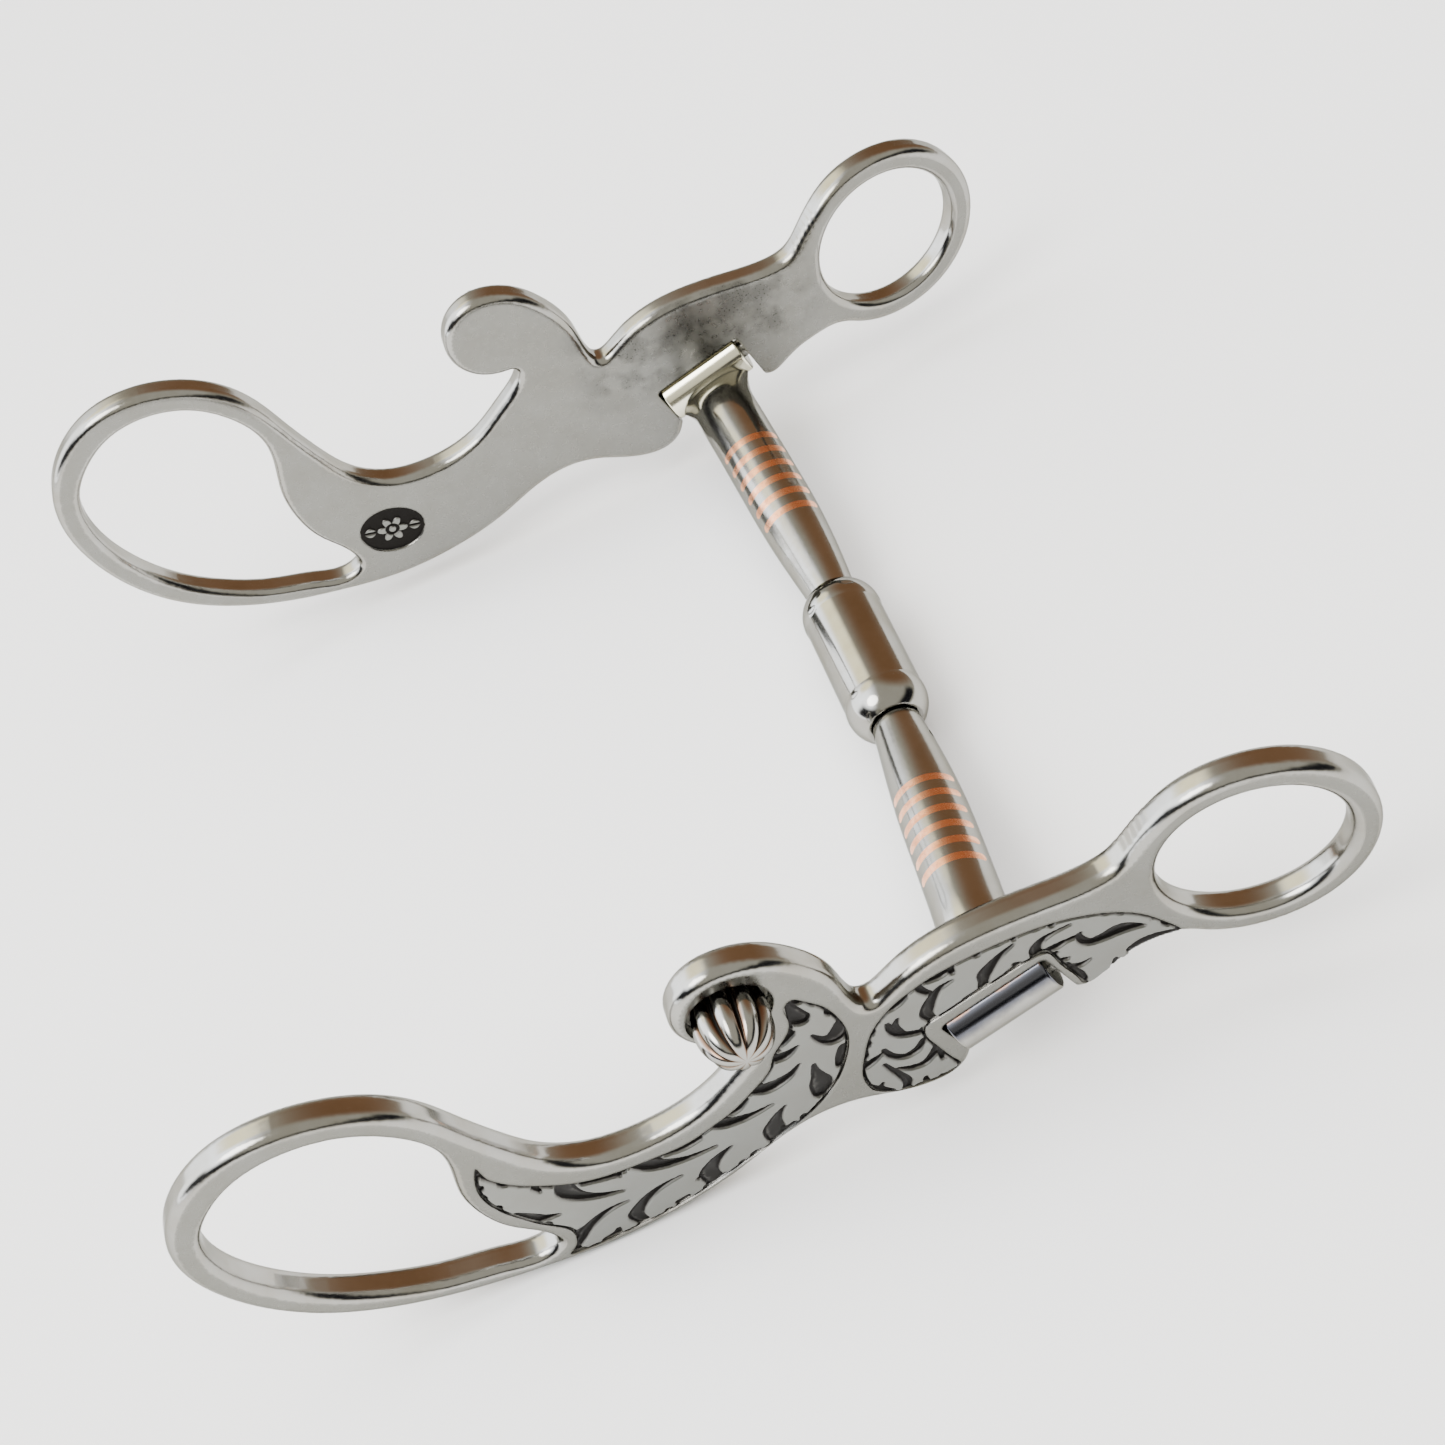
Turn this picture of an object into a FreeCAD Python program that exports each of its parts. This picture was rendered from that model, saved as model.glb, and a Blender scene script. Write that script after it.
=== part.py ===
import FreeCAD, Part
import math
import os

# Loose-cheek curb bit with a hinged shank on each side and a free barrel in the middle of the
# mouthpiece.  X runs along the shanks towards the purchase rings, Y runs across the mouth towards
# the right cheek and Z is up.  The left shank's belly is the lowest place, 2 mm below the barrel.
# Each side is modelled on the right, +Y, and mirrored for the left.  Millimetres.

# Driving dimensions
MOUTH_WIDTH = 127.0            # between the inner faces of the two cheeks
PLATE_THICKNESS = 4.5
REST_SWIVEL = 3.8              # how far the right side is turned about the barrel against the left
LEVEL_TURN = 9.5               # turn of the cheek drawing that brings belly and barrel near level
PURCHASE_FLARE = 9.0           # the purchase ring leans outwards by this angle
FLARE_STEPS = 6
FLARE_START = 44.8             # along the shank
FLARE_PITCH = 0.6
CUTTER_LAP = 0.05
CUT_REACH = 60.0

RIM_ROUNDING = 1.45
LOOP_ROUNDING = 1.3
RING_CENTRE = (60.5, 5.7)
RING_HOLE_RADIUS = 12.1
RING_BAND = 3.9
CURL_CENTRE = (-5.7, 9.3)
CURL_RADIUS = 7.6
NOTCH_CENTRE = (10.9, 0.7)     # the notch in front of the curl
NOTCH_RADIUS = 1.6
CROOK_CENTRE = (-3.8, 0.9)     # the corner under the curl
CROOK_RADIUS = 0.9

BUD_CENTRE = (-6.1, 8.5)
BUD_RADIUS = 5.0
BUD_FOOT_RADIUS = 4.4
BUD_WAIST_SHARE = 0.4          # height of the widest place, of the bud's whole height
BUD_RISE = 6.95                # above the outer face
BUD_SPIGOT_RADIUS = 2.0
BUD_POCKET_RADIUS = 5.5
BUD_POCKET_DEPTH = 2.2
BUD_SPIGOT_LENGTH = 1.4

PANEL_DEPTH = 0.55
BADGE_CENTRE = (-29.2, -23.2)
BADGE_LENGTH = 11.0
BADGE_HEIGHT = 9.4
BADGE_TURN = -5.0
BADGE_DEPTH = 0.35

HINGE_TURN = 25.5              # slope of the hinge slot against the shank
SLOT_CORNER = (18.7, -10.5)
SLOT_LENGTH = 16.0
SLOT_DEPTH = 16.0
SLOT_CORNER_RADIUS = 0.8
SLEEVE_RADIUS = 3.9
SLEEVE_LENGTH = 14.8
SLEEVE_TOP_GAP = 0.4
SLEEVE_END_GAP = 0.4
SLEEVE_EDGE = 0.35
PIN_RADIUS = 1.6
PIN_SEAT = 6.0                 # how far the pin is held in each lug
RUNNING_CLEARANCE = 0.05       # radial

BARREL_CENTRE = (32.1, -17.1)  # on the cheek drawing
BARREL_RADIUS = 6.1
BARREL_MOUTH_RADIUS = 4.3
BARREL_HALF_LENGTH = 13.8
BARREL_SHOULDER = 5.2
BARREL_GAP = 0.4

ARM_ROOT_RADIUS = 5.1
ARM_END_RADIUS = 3.75
ARM_TAPER_SHARE = 0.42         # share of the arm's length, from the barrel, that tapers
ARM_BOW_POWER = 1.3
ARM_SECTIONS = 9
WELD_LEAD = 3.0                # plain arm before the first weld section
# The arm widens into the sleeve's lower half: distance from the hinge pin, half width along it,
# half height, and drop below the arm's axis.
WELD_SECTIONS = [(8.0, 5.1, 4.8, 0.3), (5.6, 5.5, 3.9, 0.8), (3.8, 6.3, 2.9, 1.1), (1.4, 6.9, 2.2, 1.2)]

AXLE_RADIUS = 2.0
AXLE_SEAT = 10.0               # how far the axle reaches into each arm
AXLE_END_PLAY = 0.2
AXLE_GROOVE_DEPTH = 0.7
AXLE_GROOVE_WIDTH = 1.9
DOWEL_RADIUS = 0.8
DOWEL_PLACE = 5.0              # from each arm's end
DOWEL_RECESS = 0.15

BAND_COUNT = 6
BAND_FIRST = 30.0              # from the middle of the mouth
BAND_PITCH = 3.15
BAND_WIDTH = 1.3
BAND_DEPTH = 0.8
BAND_SWEEP = 116.0             # degrees of the arm that each band covers
BAND_LEAN = -12.0              # middle of the band's arc, from straight up

HALF_MOUTH = MOUTH_WIDTH / 2
HALF_PLATE = PLATE_THICKNESS / 2
PLATE_MIDDLE = HALF_MOUTH + HALF_PLATE
ACROSS = FreeCAD.Vector(0, 1, 0)
ORIGIN = FreeCAD.Vector(0, 0, 0)


def vec(x, y, z):
    return FreeCAD.Vector(x, y, z)


def flat(point, y=0.0):
    """A point of the cheek drawing, at depth y."""
    return vec(point[0], y, point[1])


def heading(degrees):
    """A unit direction in the cheek drawing."""
    return vec(math.cos(math.radians(degrees)), 0, math.sin(math.radians(degrees)))


def on_circle(centre, radius, degrees):
    return flat(centre) + heading(degrees) * radius


def closed_curve(points, pieces=16):
    """A smooth closed wire through the points, cut into several edges."""
    curve = Part.BSplineCurve()
    curve.interpolate(Points=[flat(p) for p in points], PeriodicFlag=True)
    first, last = curve.FirstParameter, curve.LastParameter
    step = (last - first) / pieces
    starts = [first + step * index for index in range(pieces)]
    return Part.Wire([curve.toShape(start, start + step) for start in starts])


def slab(wire, y, thickness):
    """A flat solid with the wire's outline, from y outwards."""
    face = Part.Face(Part.Wire(wire))
    face.translate(vec(0, y, 0))
    return face.extrude(vec(0, thickness, 0))


# ---- the cheek drawing ---------------------------------------------------------------------------

HINGE_ALONG = heading(HINGE_TURN)
HINGE_DOWN = heading(HINGE_TURN - 90)
SLEEVE_DROP = SLEEVE_RADIUS + SLEEVE_TOP_GAP
SLEEVE_START = flat(SLOT_CORNER) + HINGE_DOWN * SLEEVE_DROP + HINGE_ALONG * SLEEVE_END_GAP
SLEEVE_CENTRE = SLEEVE_START + HINGE_ALONG * (SLEEVE_LENGTH / 2)

# Shank edge from the curl down the hollow, round the rein loop and along the belly to the ring.
LOWER_EDGE = [
    (-6.6, -4.6), (-12.0, -9.8), (-21.0, -13.3), (-27.6, -13.0), (-32.7, -10.1), (-36.6, -5.0),
    (-40.4, 1.6), (-43.7, 7.5), (-48.3, 12.4), (-54.5, 15.4), (-61.3, 16.1), (-68.5, 14.1),
    (-74.6, 8.9), (-78.0, 2.5), (-78.9, -4.0), (-77.0, -12.5), (-72.6, -20.3), (-66.4, -26.4),
    (-58.9, -30.4), (-49.8, -32.9), (-39.8, -33.9), (-29.8, -33.8), (-19.9, -31.6), (-10.2, -27.3),
    (-3.9, -23.3), (1.6, -21.2), (6.6, -21.2), (11.4, -22.6), (15.8, -23.4), (19.6, -22.7),
    (21.9, -20.6), (22.9, -17.6), (25.6, -14.0), (30.0, -11.8), (34.0, -11.2), (36.2, -12.6),
    (38.6, -13.5), (41.8, -11.5), (45.5, -8.9), (49.3, -7.7),
]

REIN_LOOP_HOLE = [
    (-36.1, -28.4), (-37.6, -25.2), (-41.0, -21.2), (-43.6, -15.8), (-44.6, -10.0), (-44.2, -4.0),
    (-44.7, 1.4), (-48.6, 7.4), (-53.8, 10.9), (-60.3, 11.8), (-66.5, 9.9), (-71.6, 5.3),
    (-74.4, 0.0), (-74.8, -4.6), (-72.9, -12.0), (-69.2, -18.0), (-64.5, -22.8), (-58.4, -26.6),
    (-51.5, -29.2), (-44.0, -30.5), (-38.2, -30.8),
]

# Upper edge from the ring to the notch in front of the curl, and over the curl.
UPPER_EDGE = [(43.4, 8.9), (39.4, 7.5), (33.5, 7.1), (26.5, 6.6), (20.0, 5.0), (15.2, 2.3)]
CURL_BACK = [(7.4, 6.3), (3.4, 12.4), (-0.6, 15.6)]

REIN_PANEL = [
    (-41.4, -4.6), (-42.3, -8.1), (-42.4, -11.0), (-41.9, -13.8),
    (-40.6, -17.1), (-38.7, -20.4), (-36.8, -23.1),
    (-34.9, -25.2), (-33.9, -27.2), (-33.9, -29.2), (-34.6, -31.0),
    (-35.5, -32.3), (-33.0, -32.5), (-29.1, -32.1),
    (-25.2, -31.4), (-21.4, -30.6), (-17.5, -29.2), (-13.7, -27.5), (-9.9, -25.4), (-6.0, -23.5),
    (-2.5, -21.3), (0.2, -19.2), (2.9, -16.5), (4.9, -13.5), (6.3, -10.0), (7.1, -6.5), (7.1, -3.1),
    (6.3, 0.2), (4.8, 3.5), (2.8, 5.8), (1.3, 6.9), (0.4, 6.0), (0.4, 3.1), (0.0, 0.6), (-1.2, -1.4),
    (-2.5, -3.4), (-3.3, -5.9), (-4.6, -7.8), (-6.2, -9.4), (-8.0, -11.2), (-9.9, -12.7), (-12.2, -14.0),
    (-14.6, -15.3), (-17.0, -16.1), (-19.8, -16.4), (-23.5, -16.6), (-27.5, -16.5), (-30.2, -15.9),
    (-32.9, -14.7), (-35.6, -13.0), (-38.3, -10.8), (-40.2, -8.4), (-40.9, -6.4),
]
PURCHASE_PANEL = [
    (8.5, -19.0), (8.2, -18.0), (7.8, -15.6), (8.0, -13.1),
    (8.5, -10.9), (9.4, -7.6), (10.7, -4.9), (12.3, -2.9),
    (13.7, -1.6), (15.5, -0.4), (17.8, 0.8), (20.3, 1.7), (23.5, 2.5), (27.2, 3.1), (30.7, 3.4),
    (34.1, 3.4), (37.0, 3.0), (39.8, 2.2), (42.6, 1.0),
    (45.3, -0.7), (47.9, -2.9), (49.8, -4.9), (51.2, -6.6),
    (51.5, -7.6), (50.6, -7.9), (48.3, -8.3), (45.1, -9.5), (43.4, -10.5), (41.2, -11.9), (39.4, -13.0),
    (38.6, -12.9), (37.6, -11.1), (36.0, -7.8), (34.9, -5.3),
    (34.1, -3.4), (33.4, -2.7), (31.9, -2.8), (27.9, -4.4),
    (23.5, -6.2), (18.6, -8.4), (17.1, -9.3), (16.8, -10.5), (17.9, -14.0), (18.8, -16.2), (20.1, -18.9),
    (20.7, -20.4), (20.3, -21.3), (17.6, -22.1), (14.8, -22.3), (11.6, -21.9), (9.7, -20.6),
]


def round_stretch(centre, radius, start, end, count):
    """Points at equal steps round a circle, from angle start to angle end, either way round."""
    step = (end - start) / (count - 1)
    points = [on_circle(centre, radius, start + step * index) for index in range(count)]
    return [(point.x, point.z) for point in points]


def outline():
    """The cheek's outer edge, one smooth closed curve: ring, upper edge, notch, curl, loop, belly."""
    points = round_stretch(RING_CENTRE, RING_HOLE_RADIUS + RING_BAND, 245, 515, 10)
    points += UPPER_EDGE
    points += round_stretch(NOTCH_CENTRE, NOTCH_RADIUS, -40, -165, 4)
    points += CURL_BACK
    points += round_stretch(CURL_CENTRE, CURL_RADIUS, 85, 277, 7)
    points += round_stretch(CROOK_CENTRE, CROOK_RADIUS, 95, -25, 4)
    points += LOWER_EDGE
    return closed_curve(points)


def face_edges(solid):
    """The edges that lie in the plate's two flat faces."""
    return [edge for edge in solid.Edges if edge.BoundBox.YLength < 0.01]


def pierce(plate, wire, rounding):
    """Cuts the wire's outline through the plate and rounds both of its rims."""
    pierced = plate.cut(slab(wire, -PLATE_THICKNESS, 2 * PLATE_THICKNESS))
    rims = []
    for edge in face_edges(pierced):
        middle = edge.valueAt((edge.FirstParameter + edge.LastParameter) / 2)
        if wire.distToShape(Part.Vertex(vec(middle.x, 0, middle.z)))[0] < 0.02:
            rims.append(edge)
    return pierced.makeFillet(rounding, rims)


def rounded_plate():
    """The flat cheek with its loop and ring pierced and every rim rounded over."""
    plate = slab(outline(), -HALF_PLATE, PLATE_THICKNESS)
    plate = plate.makeFillet(RIM_ROUNDING, face_edges(plate))
    ring = Part.Wire(Part.makeCircle(RING_HOLE_RADIUS, flat(RING_CENTRE), ACROSS))
    plate = pierce(plate, ring, RIM_ROUNDING)
    return pierce(plate, closed_curve(REIN_LOOP_HOLE), LOOP_ROUNDING)


def along_hinge(start, radius, length):
    """A cylinder along the hinge, from start along the pin's axis, measured from the sleeve's end."""
    return Part.makeCylinder(radius, length, SLEEVE_START + HINGE_ALONG * start, HINGE_ALONG)


def slot_cutter():
    """The hinge slot, open downwards, with rounded inner corners."""
    box = Part.makeBox(SLOT_LENGTH, 2 * PLATE_THICKNESS, SLOT_DEPTH, vec(0, -PLATE_THICKNESS, -SLOT_DEPTH))
    corners = []
    for edge in box.Edges:
        bounds = edge.BoundBox
        if bounds.YLength > PLATE_THICKNESS and bounds.ZMin > -SLOT_CORNER_RADIUS:
            corners.append(edge)
    box = box.makeFillet(SLOT_CORNER_RADIUS, corners)
    box.rotate(ORIGIN, ACROSS, -HINGE_TURN)
    box.translate(flat(SLOT_CORNER))
    return box


def pin_seats():
    """The hinge pin's solid, which is also the cutter for its two seats."""
    start = -SLEEVE_END_GAP - PIN_SEAT
    return along_hinge(start, PIN_RADIUS, SLOT_LENGTH + 2 * PIN_SEAT)


def panel_cutter(points):
    """An engraved field of the outer face, sunk to an even depth."""
    return slab(closed_curve(points), HALF_PLATE - PANEL_DEPTH, PLATE_THICKNESS)


def badge_cutter():
    """A shallow oval on the inner face."""
    oval = Part.Ellipse(ORIGIN, BADGE_LENGTH / 2, BADGE_HEIGHT / 2).toShape()
    oval.rotate(ORIGIN, vec(1, 0, 0), 90)
    oval.rotate(ORIGIN, ACROSS, -BADGE_TURN)
    oval.translate(flat(BADGE_CENTRE))
    return slab(oval, -PLATE_THICKNESS, PLATE_THICKNESS - HALF_PLATE + BADGE_DEPTH)


def flare_lines():
    """Where the flare bends, on the outer face, and the plate's lean before each bend."""
    turn = PURCHASE_FLARE / FLARE_STEPS
    point = vec(FLARE_START, HALF_PLATE, 0)
    lines = []
    for step in range(FLARE_STEPS):
        lines.append((point, turn * step))
        after = math.radians(turn * (step + 1))
        point = point + vec(math.cos(after), math.sin(after), 0) * FLARE_PITCH
    return lines


def cut_plane(point, lean):
    """A large face across the shank, and the direction along the shank there."""
    reach = CUT_REACH
    corners = [vec(0, -reach, -reach), vec(0, reach, -reach), vec(0, reach, reach), vec(0, -reach, reach)]
    plane = Part.Face(Part.makePolygon(corners + corners[:1]))
    plane.rotate(ORIGIN, vec(0, 0, 1), lean)
    plane.translate(point)
    return plane, vec(math.cos(math.radians(lean)), math.sin(math.radians(lean)), 0)


def flare_purchase(plate):
    """Bends the purchase ring outwards in small steps about lines across the outer face."""
    turn = PURCHASE_FLARE / FLARE_STEPS
    fixed = []
    moving = plate
    for point, lean in flare_lines():
        plane, along = cut_plane(point, lean)
        keep = plane.extrude(along * (-4 * CUT_REACH))
        cut_face = plane.common(moving).Faces[0]
        fixed.append(moving.common(keep))
        fixed.append(cut_face.revolve(point, vec(0, 0, 1), turn))
        moving = moving.cut(keep)
        moving.rotate(point, vec(0, 0, 1), turn)
    return moving.fuse(fixed).removeSplitter()


def follow_flare(cutter):
    """The cutter led round the flare, one solid for each flat stretch, lapped over each bend."""
    turn = PURCHASE_FLARE / FLARE_STEPS
    pieces = []
    moving = cutter
    for point, lean in flare_lines():
        plane, along = cut_plane(point, lean)
        behind = plane.extrude(along * (-4 * CUT_REACH))
        lap = along * CUTTER_LAP
        pieces.append(moving.common(behind.translated(lap)))
        moving = moving.cut(behind.translated(lap * -1))
        moving.rotate(point, vec(0, 0, 1), turn)
    return pieces + [moving]


def shank():
    plate = flare_purchase(rounded_plate().cut(slot_cutter()))
    for cutter in [panel_cutter(REIN_PANEL)] + follow_flare(panel_cutter(PURCHASE_PANEL)):
        plate = plate.cut(cutter)
    pocket_floor = flat(BUD_CENTRE, HALF_PLATE - BUD_POCKET_DEPTH)
    plate = plate.cut(Part.makeCylinder(BUD_POCKET_RADIUS, PLATE_THICKNESS, pocket_floor, ACROSS))
    plate = plate.cut(Part.makeCylinder(BUD_SPIGOT_RADIUS, BUD_SPIGOT_LENGTH, pocket_floor, ACROSS * -1))
    return plate.cut(badge_cutter()).cut(pin_seats())


def scroll_bud():
    """The domed bud that fills the eye of the curl, soldered in by its spigot."""
    height = BUD_POCKET_DEPTH + BUD_RISE
    waist = BUD_WAIST_SHARE * height
    foot, crown = ORIGIN, vec(0, height, 0)
    rim_low, rim_high = vec(BUD_FOOT_RADIUS, 0, 0), vec(BUD_RADIUS, waist, 0)
    profile = []
    for angle in range(0, 91, 15):
        out = math.cos(math.radians(angle))
        up = math.sin(math.radians(angle))
        profile.append(vec(BUD_RADIUS * out, waist + (height - waist) * up, 0))
    dome = Part.BSplineCurve()
    dome.interpolate(Points=profile)
    edges = [Part.makeLine(foot, rim_low), Part.makeLine(rim_low, rim_high), dome.toShape()]
    edges.append(Part.makeLine(crown, foot))
    bud = Part.Face(Part.Wire(edges)).revolve(ORIGIN, ACROSS, 360)
    bud = bud.fuse(Part.makeCylinder(BUD_SPIGOT_RADIUS, BUD_SPIGOT_LENGTH, ORIGIN, ACROSS * -1))
    bud.translate(flat(BUD_CENTRE, HALF_PLATE - BUD_POCKET_DEPTH))
    return bud


def hinge_sleeve():
    body = along_hinge(0, SLEEVE_RADIUS, SLEEVE_LENGTH)
    rims = [edge for edge in body.Edges if edge.Closed and edge.Length > PIN_RADIUS]
    body = body.makeFillet(SLEEVE_EDGE, rims)
    return body.cut(along_hinge(-1, PIN_RADIUS + RUNNING_CLEARANCE, SLEEVE_LENGTH + 2))


# ---- the mouthpiece ------------------------------------------------------------------------------

ARM_START = BARREL_HALF_LENGTH + BARREL_GAP


def arm_centre(y):
    """The arm's axis: straight out of the barrel, then bowing up to the hinge pin."""
    share = ((y - ARM_START) / (PLATE_MIDDLE - ARM_START)) ** ARM_BOW_POWER
    barrel = flat(BARREL_CENTRE)
    centre = barrel + (SLEEVE_CENTRE - barrel) * share
    return vec(centre.x, y, centre.z)


def arm_direction(y):
    step = 0.01
    return (arm_centre(y + step) - arm_centre(y)).normalize()


def arm_radius(y):
    share = (y - ARM_START) / (PLATE_MIDDLE - ARM_START)
    rise = math.sin(min(share / ARM_TAPER_SHARE, 1) * math.pi / 2)
    return ARM_END_RADIUS + (ARM_ROOT_RADIUS - ARM_END_RADIUS) * rise


def arm_section(y, half_width, half_height, drop=0.0, points=16):
    """A closed oval across the arm, its width along the hinge pin."""
    direction = arm_direction(y)
    tall = HINGE_ALONG.cross(direction).normalize()
    wide = direction.cross(tall).normalize()
    centre = arm_centre(y) - tall * drop
    ring = []
    for index in range(points):
        angle = 2 * math.pi * index / points
        ring.append(centre + wide * (half_width * math.cos(angle)) + tall * (half_height * math.sin(angle)))
    curve = Part.BSplineCurve()
    curve.interpolate(Points=ring, PeriodicFlag=True)
    return Part.Wire(curve.toShape())


def arm_blank():
    """A mouthpiece arm from the barrel to the hinge sleeve, saddled to fit the sleeve."""
    taper_end = PLATE_MIDDLE - WELD_SECTIONS[0][0] - WELD_LEAD
    sections = []
    for index in range(ARM_SECTIONS):
        y = ARM_START + (taper_end - ARM_START) * index / (ARM_SECTIONS - 1)
        sections.append(arm_section(y, arm_radius(y), arm_radius(y)))
    for distance, half_width, half_height, drop in WELD_SECTIONS:
        sections.append(arm_section(PLATE_MIDDLE - distance, half_width, half_height, drop))
    arm = Part.makeLoft(sections, True, False)
    sleeve = along_hinge(-1, SLEEVE_RADIUS, SLEEVE_LENGTH + 2)
    sleeve.translate(vec(0, PLATE_MIDDLE, 0))
    return arm.cut(sleeve)


def band_cutter(y):
    """An arc-shaped inlay groove round the upper side of the arm, with rounded ends."""
    outside = arm_radius(y) + 1
    inside = arm_radius(y) - BAND_DEPTH
    half = BAND_WIDTH / 2
    upright = vec(0, 0, 1)
    arc = Part.makeCylinder(outside, BAND_WIDTH, vec(0, 0, -half), upright, BAND_SWEEP)
    arc.rotate(ORIGIN, upright, -BAND_SWEEP / 2)
    for angle in (-BAND_SWEEP / 2, BAND_SWEEP / 2):
        end = Part.makeCylinder(half, outside, ORIGIN, vec(1, 0, 0))
        end.rotate(ORIGIN, upright, angle)
        arc = arc.fuse(end)
    arc = arc.cut(Part.makeCylinder(inside, 2 * BAND_WIDTH, vec(0, 0, -BAND_WIDTH), upright))
    direction = arm_direction(y)
    up = heading(90 - BAND_LEAN)
    side = direction.cross(up).normalize()
    up = side.cross(direction).normalize()
    arc.Placement = FreeCAD.Placement(arm_centre(y), FreeCAD.Rotation(up, side, direction, "ZXY"))
    return arc


def barrel_roller():
    """The free barrel: a cylinder with long rounded shoulders, bored for the axle."""
    half, flat_half = BARREL_HALF_LENGTH, BARREL_HALF_LENGTH - BARREL_SHOULDER
    bend = BARREL_SHOULDER * math.sin(math.pi / 4)
    drop = (BARREL_RADIUS - BARREL_MOUTH_RADIUS) * (1 - math.cos(math.pi / 4))
    profile = [Part.makeLine(vec(0, -half, 0), vec(BARREL_MOUTH_RADIUS, -half, 0))]
    shoulder = (vec(BARREL_MOUTH_RADIUS, -half, 0), vec(BARREL_RADIUS - drop, -flat_half - bend, 0))
    profile.append(Part.Arc(*shoulder, vec(BARREL_RADIUS, -flat_half, 0)).toShape())
    profile.append(Part.makeLine(vec(BARREL_RADIUS, -flat_half, 0), vec(BARREL_RADIUS, flat_half, 0)))
    shoulder = (vec(BARREL_RADIUS, flat_half, 0), vec(BARREL_RADIUS - drop, flat_half + bend, 0))
    profile.append(Part.Arc(*shoulder, vec(BARREL_MOUTH_RADIUS, half, 0)).toShape())
    profile.append(Part.makeLine(vec(BARREL_MOUTH_RADIUS, half, 0), vec(0, half, 0)))
    profile.append(Part.makeLine(vec(0, half, 0), vec(0, -half, 0)))
    barrel = Part.Face(Part.Wire(profile)).revolve(ORIGIN, ACROSS, 360)
    barrel.translate(flat(BARREL_CENTRE))
    return barrel.cut(on_axle(AXLE_RADIUS + RUNNING_CLEARANCE, -2 * half, 2 * half))


def on_axle(radius, start, end):
    return Part.makeCylinder(radius, end - start, flat(BARREL_CENTRE, start), ACROSS)


def crossing_dowel(y, offset):
    """A dowel across the arm along the hinge direction, offset from the axle towards the underside."""
    length = 2 * ARM_ROOT_RADIUS
    place = flat(BARREL_CENTRE, y) + HINGE_DOWN * offset - HINGE_ALONG * (length / 2)
    return Part.makeCylinder(DOWEL_RADIUS, length, place, HINGE_ALONG)


def trimmed_dowel(cutter, blank):
    """The dowel, ending just under the arm's surface."""
    middle = cutter.BoundBox.Center.y
    reach = ARM_END_RADIUS - DOWEL_RECESS
    ends = on_axle(reach, middle - 2 * DOWEL_RADIUS, middle + 2 * DOWEL_RADIUS)
    return cutter.common(ends).common(blank)


def mirrored(shape):
    return shape.mirror(ORIGIN, ACROSS)


def build():
    """Every piece by name, each side at rest about the barrel's axis."""
    cheek = {"shank": shank(), "scroll_bud": scroll_bud(), "hinge_pin": pin_seats()}
    cheek["hinge_sleeve"] = hinge_sleeve()
    for shape in cheek.values():
        shape.translate(vec(0, PLATE_MIDDLE, 0))
    blank = arm_blank()
    bands = []
    arm = blank
    for index in range(BAND_COUNT):
        cutter = band_cutter(BAND_FIRST + BAND_PITCH * index)
        bands.append(blank.common(cutter))
        arm = arm.cut(cutter)

    seat_end = ARM_START + AXLE_SEAT
    dowel_y = ARM_START + DOWEL_PLACE
    groove_radius = AXLE_RADIUS - AXLE_GROOVE_DEPTH
    groove_offset = groove_radius + DOWEL_RADIUS + RUNNING_CLEARANCE
    fixed_dowel = crossing_dowel(-dowel_y, 0)
    loose_dowel = crossing_dowel(dowel_y, groove_offset)
    groove = on_axle(AXLE_RADIUS + 1, dowel_y - AXLE_GROOVE_WIDTH / 2, dowel_y + AXLE_GROOVE_WIDTH / 2)
    groove = groove.cut(on_axle(groove_radius, 0, 2 * dowel_y))

    left = {name: mirrored(shape) for name, shape in cheek.items()}
    left_blank = mirrored(blank)
    left["mouth_arm"] = mirrored(arm).cut(on_axle(AXLE_RADIUS, -seat_end, 0)).cut(fixed_dowel)
    right = dict(cheek)
    running_bore = on_axle(AXLE_RADIUS + RUNNING_CLEARANCE, 0, seat_end + AXLE_END_PLAY)
    right["mouth_arm"] = arm.cut(running_bore).cut(loose_dowel)
    for index, band in enumerate(bands, 1):
        left[f"copper_band_{index}"] = mirrored(band)
        right[f"copper_band_{index}"] = band

    pieces = {f"left_{name}": shape for name, shape in left.items()}
    pieces["centre_axle"] = on_axle(AXLE_RADIUS, -seat_end, seat_end).cut(groove).cut(fixed_dowel)
    pieces["axle_dowel"] = trimmed_dowel(fixed_dowel, left_blank)
    left_names = list(pieces)
    pieces.update({f"right_{name}": shape for name, shape in right.items()})
    pieces["retaining_dowel"] = trimmed_dowel(loose_dowel, blank)
    pieces["barrel_roller"] = barrel_roller()
    for name, shape in pieces.items():
        side = -1 if name in left_names else 1
        if name == "barrel_roller":
            side = 0
        shape.rotate(flat(BARREL_CENTRE), ACROSS, LEVEL_TURN + side * REST_SWIVEL / 2)
    return pieces


def stand(pieces):
    """Moves everything so that the origin is at the middle of the underside."""
    box = Part.makeCompound(list(pieces.values())).optimalBoundingBox()
    shift = vec(-box.Center.x, -box.Center.y, -box.ZMin)
    for shape in pieces.values():
        shape.translate(shift)
    return shift


if __name__ == "__main__":
    os.makedirs("parts", exist_ok=True)
    all_pieces = build()
    shift = stand(all_pieces)
    print("moved by", [round(value, 4) for value in shift])
    for node, solid in all_pieces.items():
        print(node, len(solid.Solids), "valid" if solid.isValid() else "NOT VALID", round(solid.Volume, 2))
        solid.exportStep(f"parts/{node}.step")
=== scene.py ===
import math

import bmesh
import bpy
import numpy as np
from mathutils import Matrix, Vector


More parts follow.
